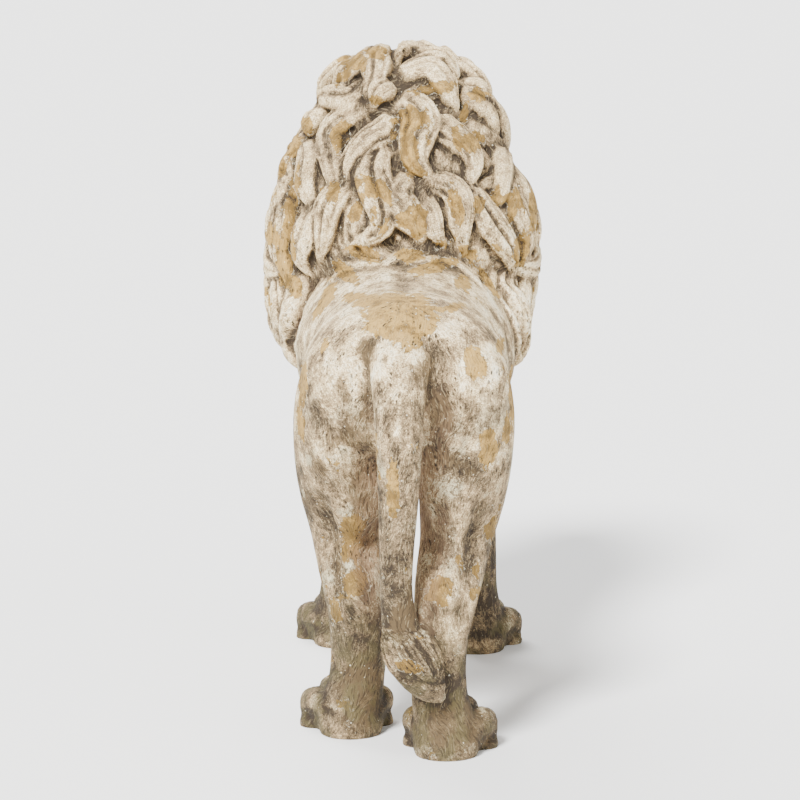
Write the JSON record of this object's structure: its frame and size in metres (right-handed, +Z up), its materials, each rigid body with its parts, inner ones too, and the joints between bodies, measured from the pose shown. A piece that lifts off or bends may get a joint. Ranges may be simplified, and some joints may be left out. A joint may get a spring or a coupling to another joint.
{
  "type": "lion statue",
  "caption": "Standing lion cast in one piece on its own four paws, with a curled mane, a hanging tail and worn cream paint; an ornament for a garden or an entrance.",
  "frame": {"origin": "on the ground, under the middle of the figure's box", "axes": "+Z up, the lion faces -Y, +X is the lion's own left"},
  "size_m": [0.3266, 0.8106, 0.7207],
  "materials": {
    "weathered_paint": "matt cream-white paint over a tan ground, flaked and washed grey-brown in its hollows, on a cast mineral shell"
  },
  "bodies": {
    "root": {"lion": "weathered_paint"}
  },
  "joints": []
}
